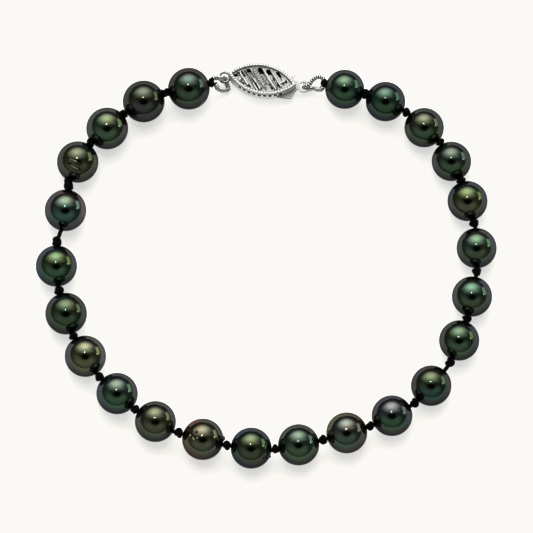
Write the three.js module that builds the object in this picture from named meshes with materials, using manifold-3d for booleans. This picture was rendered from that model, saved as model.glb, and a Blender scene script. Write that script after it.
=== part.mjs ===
// Knotted bracelet of dark round pearls with a fish-hook clasp, lying closed on a flat surface.
// Millimetres, +Z up. The surface is z = 0 and the origin is the middle of the loop's footprint.
import * as THREE from "three";
import { mergeVertices } from "three/addons/utils/BufferGeometryUtils.js";
import Module from "manifold-3d";

const wasm = await Module();
wasm.setup();

// Driving dimensions of the string
const pearlDiameter = 6.0;
const boreDiameter = 1.0;
const threadDiameter = 0.45;
const knotDiameter = 1.3;
const knotLength = 1.0;
const knotShoulder = 0.6;
const knotClearance = 0.1;
const straightReach = 0.42;

// Driving dimensions of the clasp's box
const boxLength = 10.2;
const boxWidth = 4.8;
const boxHeight = 2.35;
const boxWall = 0.45;
const backThickness = 0.35;
const frontThickness = 0.4;
const frontRecess = 0.12;
const slotWidth = 0.46;
const slotTilt = 49;
const barWidth = 0.3;
const barRelief = 0.22;
const leafWidth = 0.9;
const leafRidge = 0.22;
const leafRidges = 7;
const windowWidth = 0.45;
const windowHeight = 0.45;
const windowPitch = 0.8;
const windowCount = 9;

// Driving dimensions of the hook and of the two rings
const plateThickness = 0.4;
const plateClearance = 0.2;
const wingReach = 2.0;
const barbReach = 2.05;
const mouthDepth = 2.6;
const tongueWidth = 1.9;
const tongueLength = 5.4;
const leafThickness = 0.3;
const leafSpread = 0.4;
const leafStart = 0.25;
const neckWidth = 1.2;
const neckFlare = 1.7;
const ringHole = 1.2;
const ringRim = 0.36;
const hookRingReach = 1.1;
const hookRingShift = 0.38;
const endRingReach = 0.5;
const endRingShift = -0.3;

// Driving dimensions of the bullion wire
const gimpDiameter = 0.7;
const gimpClearance = 0.22;
const gimpEndSpacing = 0.9;
const closedGimpReach = 2.05;
const hookGimpReach = 2.95;
const gimpEndGap = 0.12;

// Height of the clasp over the surface that the pearls rest on
const claspRest = 0.5;

// Sides and steps of the faceted solids
const pearlSides = 16;
const pearlBands = 7;
const threadSides = 6;
const threadStepsPerPearl = 4;
const knotSides = 7;
const gimpSides = 6;
const gimpSteps = 26;
const ringSides = 14;
const slotEndSides = 8;
const arcSteps = 12;
const routeSteps = 2000;
const weldDistance = 1e-4;

// Route of the string round the loop, in the plane of the surface. It starts at the box's
// closed end, goes round against the clock and comes back to the hook's ring.
const stringRoute = [
  [-6.2, 30.3],
  [-8.2, 28.8],
  [-11.4, 27.9],
  [-18.1, 25.9],
  [-27.8, 16.5],
  [-29.6, 8.9],
  [-30.9, 0.25],
  [-26.6, -13.7],
  [-16.3, -23.8],
  [-2.3, -27.9],
  [4.7, -27.4],
  [18.4, -22.9],
  [24.2, -18.2],
  [28.3, -11.2],
  [30.9, 3.1],
  [27.2, 16.7],
  [23.1, 22.0],
  [17.4, 26.0],
  [11.4, 27.9],
  [8.4, 28.9],
  [5.4, 28.9],
];

// One row for each pearl in its order along the string. size is a share of pearlDiameter.
// knot and bare are the knot after the pearl and the bare silk before that knot, as shares
// of knotLength.
const pearlRows = [
  { size: 1.03, knot: 0.61, bare: 0 },
  { size: 1.03, knot: 0.48, bare: 0 },
  { size: 1.03, knot: 0.48, bare: 0 },
  { size: 1.02, knot: 1.1, bare: 0.38 },
  { size: 1.02, knot: 1.25, bare: 1.26 },
  { size: 1.01, knot: 1.15, bare: 0.12 },
  { size: 1.02, knot: 0.91, bare: 0 },
  { size: 1.01, knot: 1.1, bare: 0.08 },
  { size: 1.01, knot: 0.88, bare: 0 },
  { size: 1.0, knot: 1.1, bare: 0.16 },
  { size: 1.01, knot: 0.99, bare: 0 },
  { size: 1.0, knot: 0.79, bare: 0 },
  { size: 1.005, knot: 1.06, bare: 0 },
  { size: 1.0, knot: 0.97, bare: 0 },
  { size: 0.995, knot: 1.1, bare: 0.19 },
  { size: 0.99, knot: 1.2, bare: 0.85 },
  { size: 0.985, knot: 0.97, bare: 0 },
  { size: 0.985, knot: 1.15, bare: 0.31 },
  { size: 0.985, knot: 1.1, bare: 0.26 },
  { size: 0.985, knot: 0.59, bare: 0 },
  { size: 0.97, knot: 0.65, bare: 0 },
  { size: 0.97, knot: 1.0, bare: 0 },
  { size: 0.975, knot: 0.32, bare: 0 },
  { size: 0.965, knot: 0.2, bare: 0 },
];
const firstKnot = 0.6;

// Bends of the two loops of bullion wire. along is a share of the way from the string's end
// to the ring, side is a share of gimpDiameter to the right of that way, and rise goes from
// 0 at the ring to 1 at the pearls' holes. start says on which side of the string the first
// strand begins, and turn is where the second strand leaves the ring, in degrees round it.
const closedGimpBends = {
  start: 1,
  turn: 75,
  first: [{ along: 0.4, side: -0.2, rise: 0.75 }],
  second: [
    { along: 0.74, side: 2.3, rise: 0 },
    { along: 0.3, side: 2.1, rise: 0.25 },
    { along: -0.04, side: 1.3, rise: 0.7 },
  ],
};
const hookGimpBends = {
  start: -1,
  turn: -12,
  first: [
    { along: 0.12, side: 1.25, rise: 1 },
    { along: 0.34, side: 1.3, rise: 0.85 },
    { along: 0.56, side: 0.8, rise: 0.55 },
  ],
  second: [
    { along: 0.5, side: -0.15, rise: 0.1 },
    { along: 0.3, side: -0.75, rise: 0.35 },
    { along: 0.1, side: -1.1, rise: 0.75 },
  ],
};

// Slots cut through the filigree front. at is a slot's middle along the box as a share of
// half the box's length, shift is its middle across the box and length its own length, both
// as shares of the box's width, and width is a share of slotWidth.
const slotRows = [
  { at: -0.42, shift: -0.09, length: 0.35, width: 0.5 },
  { at: -0.32, shift: 0.075, length: 0.4, width: 1 },
  { at: -0.12, shift: -0.25, length: 0.2, width: 1 },
  { at: 0.015, shift: 0.125, length: 0.44, width: 1 },
  { at: 0.29, shift: -0.205, length: 0.22, width: 1 },
  { at: 0.245, shift: 0.145, length: 0.36, width: 1 },
  { at: 0.485, shift: -0.135, length: 0.2, width: 1 },
];

// Bars raised over the front, in the same shares, width of barWidth
const barRows = [
  { at: -0.52, shift: -0.12, length: 0.6, width: 0.8 },
  { at: -0.44, shift: -0.18, length: 0.26, width: 1 },
  { at: -0.28, shift: -0.08, length: 1, width: 1.1 },
  { at: 0.215, shift: 0.02, length: 1, width: 1 },
  { at: 0.43, shift: 0.045, length: 1, width: 0.8 },
];

// The ridged leaf between the two long slots, in the same shares
const leafRow = { at: -0.062, shift: 0.012, length: 0.62 };

// Round holes near the box's two ends, and a raised bead, in the same shares
const dotRows = [
  { at: -0.77, shift: -0.035, size: 0.55 },
  { at: -0.44, shift: -0.33, size: 0.35 },
  { at: 0.47, shift: 0.24, size: 0.7 },
  { at: 0.6, shift: -0.015, size: 0.4 },
  { at: 0.71, shift: 0.035, size: 0.45 },
];
const beadRow = { at: -0.63, shift: -0.15, size: 0.85 };

// Corners of the hook's plate on its two sides. inward is a share of mouthDepth from the box's
// tip, and side is a share of wingReach or of barbReach.
const wingRows = [
  { inward: 0.38, side: 0.97 },
  { inward: 0.12, side: 0.92 },
];
const barbRows = [
  { inward: 0.23, side: 0.55 },
  { inward: 0.11, side: 1 },
  { inward: 0.45, side: 0.67 },
];
// Where the two hollow curves of the neck bend, in the same shares
const neckBends = { wing: 0.04, barb: 0.1 };

const pearlMaterial = new THREE.MeshStandardMaterial({ color: 0x24352b, roughness: 0.18, metalness: 0.3 });
const silkMaterial = new THREE.MeshStandardMaterial({ color: 0x0b0b0c, roughness: 0.85, metalness: 0 });
const whiteGoldMaterial = new THREE.MeshStandardMaterial({ color: 0xd9d8d4, roughness: 0.22, metalness: 1 });

const up = new THREE.Vector3(0, 0, 1);

// Solids from three.js geometry and back

function toSolid(geometry) {
  const bare = geometry.clone();
  bare.deleteAttribute("normal");
  bare.deleteAttribute("uv");
  const merged = mergeVertices(bare, weldDistance);
  return new wasm.Manifold(new wasm.Mesh({
    numProp: 3,
    vertProperties: new Float32Array(merged.attributes.position.array),
    triVerts: new Uint32Array(merged.index.array),
  }));
}

function toGeometry(solid) {
  const mesh = solid.getMesh();
  const geometry = new THREE.BufferGeometry();
  geometry.setAttribute("position", new THREE.BufferAttribute(new Float32Array(mesh.vertProperties), 3));
  geometry.setIndex(new THREE.BufferAttribute(new Uint32Array(mesh.triVerts), 1));
  geometry.computeVertexNormals();
  return geometry;
}

function joined(solids) {
  return solids.reduce((whole, solid) => whole.add(solid));
}

function cut(solid, tools) {
  return tools.reduce((rest, tool) => rest.subtract(tool), solid);
}

// A flat outline raised from one height to another
function raised(shape, bottom, top) {
  const geometry = new THREE.ExtrudeGeometry(shape, {
    depth: top - bottom,
    bevelEnabled: false,
    curveSegments: arcSteps,
  });
  return toSolid(geometry.translate(0, 0, bottom));
}

function block(width, depth, height, x, y, z, turn = 0) {
  const geometry = new THREE.BoxGeometry(width, depth, height);
  return toSolid(geometry.rotateZ(turn).translate(x, y, z));
}

function drum(diameter, bottom, top, x, y, sides = ringSides) {
  const geometry = new THREE.CylinderGeometry(diameter / 2, diameter / 2, top - bottom, sides);
  return toSolid(geometry.rotateX(Math.PI / 2).translate(x, y, (bottom + top) / 2));
}

// A round bar along a curve, from a section with the given number of sides
function sweep(curve, diameter, sides, steps) {
  const section = new THREE.Shape();
  for (let side = 0; side < sides; side += 1) {
    const angle = (side * 2 * Math.PI) / sides;
    const x = (diameter / 2) * Math.cos(angle);
    const y = (diameter / 2) * Math.sin(angle);
    if (side === 0) section.moveTo(x, y);
    else section.lineTo(x, y);
  }
  section.closePath();
  return new THREE.ExtrudeGeometry(section, { steps, extrudePath: curve, bevelEnabled: false });
}

// Places along the string

const ringDiameter = ringHole + 2 * ringRim;
const endRingPlace = new THREE.Vector3(-boxLength / 2 - endRingReach, endRingShift, 0);
const hookRingPlace = new THREE.Vector3(boxLength / 2 + hookRingReach, hookRingShift, 0);
const ringToRing = endRingPlace.distanceTo(hookRingPlace);
const plateBottom = claspRest + backThickness + plateClearance;
const plateTop = plateBottom + plateThickness;

// Walks along the string and notes where each pearl and each knot sits
function layOut() {
  const places = [];
  const knots = [];
  const firstStart = closedGimpReach + gimpEndGap;
  knots.push({ from: firstStart, length: firstKnot * knotLength, after: -1 });
  let travelled = firstStart + firstKnot * knotLength + knotClearance;
  pearlRows.forEach((row, index) => {
    const diameter = row.size * pearlDiameter;
    places.push({ at: travelled + diameter / 2, diameter });
    const knotStart = travelled + diameter + knotClearance + row.bare * knotLength;
    const length = row.knot * knotLength;
    knots.push({ from: knotStart, length, after: index });
    travelled = knotStart + length + knotClearance;
  });
  const lastEnd = travelled - knotClearance + gimpEndGap;
  const total = lastEnd + hookGimpReach + ringToRing;
  return { places, knots, firstEnd: closedGimpReach, lastEnd, total };
}

const layout = layOut();

// The route is drawn once and then takes the length that the pieces add up to
function scaledRoute(points, length) {
  const curve = (scale) => {
    const round = new THREE.CatmullRomCurve3(
      points.map(([x, y]) => new THREE.Vector3(x * scale, y * scale, 0)),
      true,
      "centripetal",
    );
    round.arcLengthDivisions = routeSteps;
    return round;
  };
  return curve(length / curve(1).getLength());
}

const route = scaledRoute(stringRoute, layout.total);

function pointAt(distance, height) {
  const point = route.getPointAt(distance / layout.total);
  return point.setZ(height);
}

function headingAt(distance) {
  return route.getTangentAt(distance / layout.total).setZ(0).normalize();
}

function pearlHeight(index) {
  const nearest = Math.min(Math.max(index, 0), layout.places.length - 1);
  return layout.places[nearest].diameter / 2;
}

const closedEnd = {
  point: pointAt(layout.firstEnd, pearlHeight(0)),
  heading: headingAt(layout.firstEnd),
};
const hookEnd = {
  point: pointAt(layout.lastEnd, pearlHeight(layout.places.length - 1)),
  heading: headingAt(layout.lastEnd).negate(),
};

// Pearls

// The flats of the faceted ball touch the true round pearl, so it rests on a flat
function pearlGeometry(diameter) {
  const bandAngle = Math.PI / pearlBands;
  const corner = diameter / 2 / Math.cos(bandAngle / 2) / Math.cos(Math.PI / pearlSides);
  const bore = boreDiameter / 2;
  const end = (diameter / 2) * Math.cos(Math.asin(bore / (diameter / 2)));
  const profile = [new THREE.Vector2(bore, -end)];
  for (let band = 1; band < pearlBands; band += 1) {
    const angle = band * bandAngle - Math.PI / 2;
    profile.push(new THREE.Vector2(corner * Math.cos(angle), corner * Math.sin(angle)));
  }
  profile.push(new THREE.Vector2(bore, end));
  profile.push(profile[0].clone());
  return new THREE.LatheGeometry(profile, pearlSides, Math.PI / pearlSides, 2 * Math.PI);
}

// Turns a shape whose axis is Y so that the axis points along the heading, its Z staying up
function alongHeading(mesh, heading) {
  const across = new THREE.Vector3().crossVectors(heading, up);
  mesh.setRotationFromMatrix(new THREE.Matrix4().makeBasis(across, heading, up));
}

function pearl(place, index) {
  const mesh = new THREE.Mesh(pearlGeometry(place.diameter), pearlMaterial);
  mesh.name = `pearl_${String(index + 1).padStart(2, "0")}`;
  mesh.position.copy(pointAt(place.at, place.diameter / 2));
  alongHeading(mesh, headingAt(place.at));
  return mesh;
}

// Silk with its knots

function knotSolid(knot) {
  const half = knot.length / 2;
  const radius = knotDiameter / 2;
  const thin = threadDiameter / 2;
  const profile = [
    new THREE.Vector2(0, -half),
    new THREE.Vector2(thin + (radius - thin) * knotShoulder, -half),
    new THREE.Vector2(radius, 0),
    new THREE.Vector2(thin + (radius - thin) * knotShoulder, half),
    new THREE.Vector2(0, half),
  ];
  const mesh = new THREE.Mesh(new THREE.LatheGeometry(profile, knotSides));
  const middle = knot.from + half;
  const height = (pearlHeight(knot.after) + pearlHeight(knot.after + 1)) / 2;
  mesh.position.copy(pointAt(middle, height));
  alongHeading(mesh, headingAt(middle));
  mesh.updateMatrix();
  return toSolid(mesh.geometry.applyMatrix4(mesh.matrix));
}

function silkThread() {
  const points = [pointAt(layout.knots[0].from + threadDiameter / 2, pearlHeight(0))];
  for (const place of layout.places) {
    const middle = pointAt(place.at, place.diameter / 2);
    const reach = headingAt(place.at).multiplyScalar(place.diameter * straightReach);
    points.push(middle.clone().sub(reach));
    points.push(middle.clone().add(reach));
  }
  const lastKnot = layout.knots[layout.knots.length - 1];
  points.push(pointAt(lastKnot.from + lastKnot.length / 2, pearlHeight(lastKnot.after)));
  const curve = new THREE.CatmullRomCurve3(points, false, "centripetal");
  const steps = threadStepsPerPearl * layout.places.length;
  const strand = toSolid(sweep(curve, threadDiameter, threadSides, steps));
  const whole = joined([strand, ...layout.knots.map(knotSolid)]);
  const mesh = new THREE.Mesh(toGeometry(whole), silkMaterial);
  mesh.name = "silk_thread";
  return mesh;
}

// Clasp, drawn with X along the box towards the hook and Z up from the surface

const boxBottom = claspRest;
const boxTop = claspRest + boxHeight;
const frontTop = boxTop - frontRecess;
const frontBottom = frontTop - frontThickness;
const mouthTop = plateTop + plateClearance;
const sideRadius = (boxLength ** 2 + boxWidth ** 2) / (4 * boxWidth);

// A pointed oval whose two sides are arcs, drawn in by an inset
function marquise(inset) {
  const inner = sideRadius - inset;
  const drop = sideRadius - boxWidth / 2;
  const halfAngle = Math.acos(drop / inner);
  const shape = new THREE.Shape();
  shape.absarc(0, -drop, inner, Math.PI / 2 - halfAngle, Math.PI / 2 + halfAngle, false);
  shape.absarc(0, drop, inner, -Math.PI / 2 - halfAngle, -Math.PI / 2 + halfAngle, false);
  return shape;
}

const slotTurn = THREE.MathUtils.degToRad(-slotTilt);

function onFront(row) {
  return { x: (row.at * boxLength) / 2, y: row.shift * boxWidth };
}

function roundedSlot(row) {
  const { x, y } = onFront(row);
  const width = row.width * slotWidth;
  const reach = (row.length * boxWidth - width) / 2;
  const bottom = frontBottom - plateClearance;
  const top = boxTop + plateClearance;
  const slot = block(2 * reach, width, top - bottom, x, y, (top + bottom) / 2, slotTurn);
  const ends = [-reach, reach].map((offset) => {
    const endX = x + offset * Math.cos(slotTurn);
    const endY = y + offset * Math.sin(slotTurn);
    return drum(width, bottom, top, endX, endY, slotEndSides);
  });
  return joined([slot, ...ends]);
}

function raisedBar(row) {
  const { x, y } = onFront(row);
  const height = frontThickness + barRelief;
  const length = row.length * boxWidth;
  return block(length, row.width * barWidth, height, x, y, frontBottom + height / 2, slotTurn);
}

// Ridges across the leaf, evenly spaced along it
function leafSolids() {
  const { x, y } = onFront(leafRow);
  const height = frontThickness + barRelief;
  const middle = frontBottom + height / 2;
  const solids = [];
  for (let index = 0; index < leafRidges; index += 1) {
    const offset = (index / (leafRidges - 1) - 0.5) * leafRow.length * boxWidth;
    const ridgeX = x + offset * Math.cos(slotTurn);
    const ridgeY = y + offset * Math.sin(slotTurn);
    solids.push(block(leafRidge, leafWidth, height, ridgeX, ridgeY, middle, slotTurn));
  }
  return solids;
}

function frontDot(row) {
  const { x, y } = onFront(row);
  return drum(row.size, frontBottom - plateClearance, boxTop, x, y, slotEndSides);
}

function frontBead(row) {
  const { x, y } = onFront(row);
  return drum(row.size, frontBottom, frontTop + barRelief, x, y, slotEndSides);
}

// Windows in the two side walls, one row each, above the hook's plate
function sideWindows() {
  const windows = [];
  const height = (mouthTop + frontBottom) / 2;
  const depth = 3 * boxWall;
  for (let index = 0; index < windowCount; index += 1) {
    const x = (index - (windowCount - 1) / 2) * windowPitch;
    const y = Math.sqrt(sideRadius ** 2 - x ** 2) - (sideRadius - boxWidth / 2) - boxWall / 2;
    const turn = -Math.asin(x / sideRadius);
    windows.push(block(windowWidth, depth, windowHeight, x, y, height, turn));
    windows.push(block(windowWidth, depth, windowHeight, x, -y, height, -turn));
  }
  return windows;
}

function claspBody() {
  const outline = marquise(0);
  const hollow = raised(marquise(boxWall), boxBottom + backThickness, frontBottom);
  const recess = raised(marquise(boxWall), frontTop, boxTop + plateClearance);
  const shell = raised(outline, boxBottom, boxTop).subtract(hollow).subtract(recess);
  const inside = raised(marquise(boxWall / 2), boxBottom, boxTop + barRelief);
  const reliefSolids = [...barRows.map(raisedBar), ...leafSolids(), frontBead(beadRow)];
  const relief = joined(reliefSolids).intersect(inside);
  const mouthBottom = boxBottom + backThickness;
  const mouthMiddle = (mouthTop + mouthBottom) / 2;
  const mouthX = boxLength - mouthDepth;
  const mouth = block(boxLength, 2 * boxWidth, mouthTop - mouthBottom, mouthX, 0, mouthMiddle);
  const endRing = drum(ringDiameter, plateBottom, plateTop, endRingPlace.x, endRingPlace.y);
  const endHole = drum(ringHole, boxBottom, boxTop, endRingPlace.x, endRingPlace.y);
  const pierced = cut(shell, [...slotRows.map(roundedSlot), ...dotRows.map(frontDot), ...sideWindows()]);
  return cut(joined([pierced, relief, endRing]), [mouth, endHole]);
}

// Outline of the hook's flat plate: a wide wing on one side, a barb on the other, and a neck
function platePlan() {
  const inward = (share) => boxLength / 2 - share * mouthDepth;
  const start = inward(1) + plateClearance;
  const neck = hookRingPlace.x - ringHole / 2 - ringRim / 2;
  const wingSide = hookRingPlace.y - neckWidth / 2;
  const barbSide = hookRingPlace.y + neckWidth / 2;
  const flare = hookRingPlace.y - (neckWidth / 2) * neckFlare;
  const shape = new THREE.Shape();
  shape.moveTo(start, -tongueWidth / 2);
  shape.lineTo(start, -wingReach);
  wingRows.forEach((row) => shape.lineTo(inward(row.inward), -wingReach * row.side));
  shape.quadraticCurveTo(inward(neckBends.wing), flare, neck, wingSide);
  shape.lineTo(neck, barbSide);
  const [root, ...rest] = barbRows;
  shape.quadraticCurveTo(inward(neckBends.barb), barbSide, inward(root.inward), barbReach * root.side);
  rest.forEach((row) => shape.lineTo(inward(row.inward), barbReach * row.side));
  shape.lineTo(start, tongueWidth / 2);
  shape.closePath();
  return shape;
}

// The tongue folds back over itself at its inner end and springs up to the upper leaf's tip
function foldedTongue() {
  const root = boxLength / 2 - mouthDepth + 2 * plateClearance;
  const tip = root - tongueLength;
  const rise = plateTop + leafSpread;
  const side = new THREE.Shape();
  side.moveTo(root, plateBottom);
  side.lineTo(root, plateTop);
  side.lineTo(tip + leafThickness, plateTop);
  side.lineTo(root - tongueLength * leafStart, rise);
  side.lineTo(root - tongueLength * leafStart, rise + leafThickness);
  side.lineTo(tip, plateTop + leafThickness);
  side.lineTo(tip - leafThickness, plateTop);
  side.lineTo(tip, plateBottom);
  side.closePath();
  const geometry = new THREE.ExtrudeGeometry(side, { depth: tongueWidth, bevelEnabled: false });
  return toSolid(geometry.rotateX(Math.PI / 2).translate(0, tongueWidth / 2, 0));
}

function claspHook() {
  const ring = drum(ringDiameter, plateBottom, plateTop, hookRingPlace.x, hookRingPlace.y);
  const hole = drum(ringHole, claspRest, boxTop, hookRingPlace.x, hookRingPlace.y);
  return joined([raised(platePlan(), plateBottom, plateTop), foldedTongue(), ring]).subtract(hole);
}

function clasp() {
  const group = new THREE.Group();
  for (const [name, solid] of [["clasp_body", claspBody()], ["clasp_hook", claspHook()]]) {
    const mesh = new THREE.Mesh(toGeometry(solid), whiteGoldMaterial);
    mesh.name = name;
    group.add(mesh);
  }
  const endRing = pointAt(0, 0);
  const hookRing = pointAt(layout.total - ringToRing, 0);
  const along = hookRing.clone().sub(endRing);
  const drawn = hookRingPlace.clone().sub(endRingPlace);
  group.rotation.z = Math.atan2(along.y, along.x) - Math.atan2(drawn.y, drawn.x);
  const middle = endRingPlace.clone().lerp(hookRingPlace, 0.5).applyEuler(group.rotation);
  group.position.copy(endRing.lerp(hookRing, 0.5)).sub(middle);
  group.updateMatrixWorld();
  return group;
}

// Bullion wire: one loop from the string's end down through a ring and back under its rim

function gimp(name, end, hole, bends) {
  const flatHole = hole.clone().setZ(0);
  const flatEnd = end.point.clone().setZ(0);
  const way = flatHole.clone().sub(flatEnd);
  const forward = way.clone().normalize();
  const right = new THREE.Vector3().crossVectors(forward, up);
  const rimMiddle = (ringHole + ringRim) / 2;
  const over = plateTop + gimpClearance + gimpDiameter / 2;
  const under = plateBottom - gimpClearance - gimpDiameter / 2;
  const place = (along, side, height) => flatEnd.clone()
    .addScaledVector(way, along)
    .addScaledVector(right, side)
    .setZ(height);
  const bend = (row, low) => {
    const lifted = THREE.MathUtils.lerp(low, end.point.z, row.rise);
    return place(row.along, row.side * gimpDiameter, lifted);
  };
  const rimPoint = (turn, height) => {
    const angle = THREE.MathUtils.degToRad(turn);
    const reach = forward.clone().multiplyScalar(-Math.cos(angle)).addScaledVector(right, Math.sin(angle));
    return flatHole.clone().addScaledVector(reach, rimMiddle).setZ(height);
  };
  const across = new THREE.Vector3().crossVectors(end.heading, up);
  const opening = (side) => end.point.clone().addScaledVector(across, (side * gimpEndSpacing) / 2);
  const points = [
    opening(bends.start),
    ...bends.first.map((row) => bend(row, over)),
    rimPoint(0, over),
    hole.clone().setZ((plateBottom + plateTop) / 2),
    rimPoint(bends.turn, under),
    ...bends.second.map((row) => bend(row, under)),
    opening(-bends.start),
  ];
  const curve = new THREE.CatmullRomCurve3(points, false, "centripetal");
  const mesh = new THREE.Mesh(sweep(curve, gimpDiameter, gimpSides, gimpSteps), whiteGoldMaterial);
  mesh.name = name;
  return mesh;
}

// The whole bracelet, moved so that the origin is under the middle of its footprint

const bracelet = new THREE.Group();
const claspGroup = clasp();
bracelet.add(...layout.places.map(pearl));
bracelet.add(silkThread());
bracelet.add(claspGroup);
const closedHole = claspGroup.localToWorld(endRingPlace.clone());
const hookHole = claspGroup.localToWorld(hookRingPlace.clone());
bracelet.add(gimp("gimp_left", closedEnd, closedHole, closedGimpBends));
bracelet.add(gimp("gimp_right", hookEnd, hookHole, hookGimpBends));
bracelet.updateMatrixWorld(true);
const footprint = new THREE.Box3().setFromObject(bracelet, true).getCenter(new THREE.Vector3());
bracelet.position.set(-footprint.x, -footprint.y, 0);

export default bracelet;
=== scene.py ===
"""Looks of the knotted pearl bracelet: pearls, silk, bullion wire, clasp, floor, light and camera."""

import math

import bpy
import numpy as np
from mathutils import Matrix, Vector


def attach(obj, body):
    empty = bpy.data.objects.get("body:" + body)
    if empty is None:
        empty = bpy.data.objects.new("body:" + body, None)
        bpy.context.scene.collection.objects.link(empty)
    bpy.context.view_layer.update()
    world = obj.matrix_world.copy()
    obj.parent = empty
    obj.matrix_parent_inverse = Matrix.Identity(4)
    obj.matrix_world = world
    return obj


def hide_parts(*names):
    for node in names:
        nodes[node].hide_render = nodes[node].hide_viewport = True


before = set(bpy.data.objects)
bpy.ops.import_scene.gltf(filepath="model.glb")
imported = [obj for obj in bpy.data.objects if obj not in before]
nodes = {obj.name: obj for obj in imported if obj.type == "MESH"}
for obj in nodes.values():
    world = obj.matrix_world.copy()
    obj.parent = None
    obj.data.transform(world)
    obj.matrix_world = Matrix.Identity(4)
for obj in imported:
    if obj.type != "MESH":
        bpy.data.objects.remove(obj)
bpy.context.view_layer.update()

MM = 0.001
UP = np.array([0.0, 0.0, 1.0])


def table(columns, rows):
    """Each row under the names of its columns. The last columns of a row may be left out."""
    return [dict(zip(columns, row)) for row in rows]


# Steps between two given points of a rounded line, and how steep a line counts as upright
SPAN_STEPS = 24
NEARLY_UPRIGHT = 0.9

# Where the photographer stands: straight in front of the loop and high above it
CAMERA_ELEVATION = math.radians(71.2)
CAMERA_TARGET = Vector((0.04, -0.41, 3.0)) * MM
CAMERA_LENS = 800.0
SENSOR_WIDTH = 36.0
VIEW_WIDTH = 78.44 * MM
CAMERA_RANGE = (0.05, 10)
PICTURE_RIGHT = Vector((1.0, 0.0, 0.0))
PICTURE_UP = Vector((0.0, math.sin(CAMERA_ELEVATION), math.cos(CAMERA_ELEVATION)))
TO_CAMERA = Vector((0.0, -math.cos(CAMERA_ELEVATION), math.sin(CAMERA_ELEVATION)))

# Colour that each overtone gives to what a pearl's sides and lower part reflect
OVERTONES = {
    "emerald": (0.050, 0.112, 0.066),
    "green": (0.068, 0.118, 0.068),
    "sea": (0.044, 0.100, 0.084),
    "teal": (0.062, 0.106, 0.086),
    "olive": (0.100, 0.108, 0.066),
    "moss": (0.071, 0.090, 0.054),
    "grey": (0.076, 0.084, 0.076),
    "silver": (0.092, 0.110, 0.092),
    "mauve": (0.079, 0.074, 0.078),
    "slate": (0.067, 0.073, 0.078),
    "rose": (0.105, 0.085, 0.080),
    "brown": (0.100, 0.080, 0.062),
    "copper": (0.124, 0.086, 0.063),
    "steel": (0.056, 0.076, 0.090),
}

# The same for the crown, where every overtone is paler. These pale tones fill the middle of its
# painted highlight, and a deeper copy of them fills the rest of the crown
CROWNS = {
    "emerald": (0.072, 0.104, 0.080),
    "green": (0.083, 0.104, 0.069),
    "leaf": (0.085, 0.108, 0.062),
    "teal": (0.080, 0.102, 0.088),
    "olive": (0.095, 0.099, 0.070),
    "gold": (0.108, 0.103, 0.079),
    "silver": (0.102, 0.108, 0.095),
    "lilac": (0.090, 0.100, 0.108),
}

# One row for each pearl: the overtones of its crown, of its lower part, of its left and right
# sides, and how brightly it shines
PEARL_LOOKS = table(("crown", "low", "left", "right", "lustre"), [
    ("teal", "green", "mauve", "mauve", 0.86),
    ("olive", "grey", "grey", "grey", 0.8),
    ("green", "green", "grey", "mauve", 1.05),
    ("olive", "olive", "grey", "grey", 0.95),
    ("teal", "sea", "mauve", "rose", 1.15),
    ("leaf", "emerald", "steel", "slate", 1.05),
    ("green", "green", "grey", "grey", 0.86),
    ("olive", "olive", "slate", "grey", 1.24),
    ("teal", "emerald", "slate", "slate", 1.08),
    ("olive", "olive", "grey", "grey", 1.0),
    ("gold", "olive", "copper", "grey", 1.04),
    ("green", "moss", "steel", "slate", 0.96),
    ("teal", "green", "grey", "grey", 1.04),
    ("silver", "teal", "olive", "brown", 1.05),
    ("lilac", "emerald", "mauve", "mauve", 1.0),
    ("green", "sea", "mauve", "mauve", 0.9),
    ("green", "green", "grey", "slate", 0.94),
    ("emerald", "moss", "grey", "slate", 1.06),
    ("emerald", "moss", "slate", "slate", 1.1),
    ("leaf", "olive", "slate", "slate", 1.02),
    ("teal", "green", "grey", "slate", 0.94),
    ("olive", "green", "grey", "grey", 0.95),
    ("emerald", "emerald", "slate", "slate", 0.88),
    ("emerald", "emerald", "slate", "slate", 1.0),
])

# Painted highlight: the crown's glow is a pale patch painted into the colour where the main
# panel is mirrored. It is palest in its middle, which lies this way from the pearl's centre. Round
# that middle it is a little dimmer, and its colour differs this many times as much from grey.
PAINTED_HIGHLIGHT_RISE = 0.5
PAINTED_HIGHLIGHT_FRONT = 0.866
PAINTED_HIGHLIGHT_DIRECTION = PICTURE_UP * PAINTED_HIGHLIGHT_RISE + TO_CAMERA * PAINTED_HIGHLIGHT_FRONT
HIGHLIGHT_SURROUND_DEPTH = 2.1
HIGHLIGHT_SURROUND_DIMMING = 0.97

# How strongly a pearl's sides shine: their inner part, their outermost part, which is brightened as
# a painted sheen where the outline mirrors the floor, and the share that is left of it low down,
# which is painted shade where the lower sides mirror the floor in the pearl's own shadow
INNER_SIDE = 0.95
OUTLINE_PAINTED_SHEEN = 1.7
LOW_PAINTED_SHADE = 0.48

# Where one zone of a pearl's colour turns into the next, as shares of its radius
PAINTED_HIGHLIGHT_ZONE = (0.84, 0.98)
LOW_TO_CROWN = (-0.3, 0.35)
LEFT_TO_RIGHT = (-0.4, 0.4)
BODY_TO_SIDE = (0.86, 0.5)
INNER_TO_OUTER = (0.7, 0.42)
DIM_TO_FULL = (-0.7, -0.1)

# Clouds that shift the zones by up to half this share, and how they differ between pearls
CLOUD_DRIFT = 0.7
CLOUD_SCALE = 2.2
CLOUD_SHIFT = (3.7, 1.3)

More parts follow.
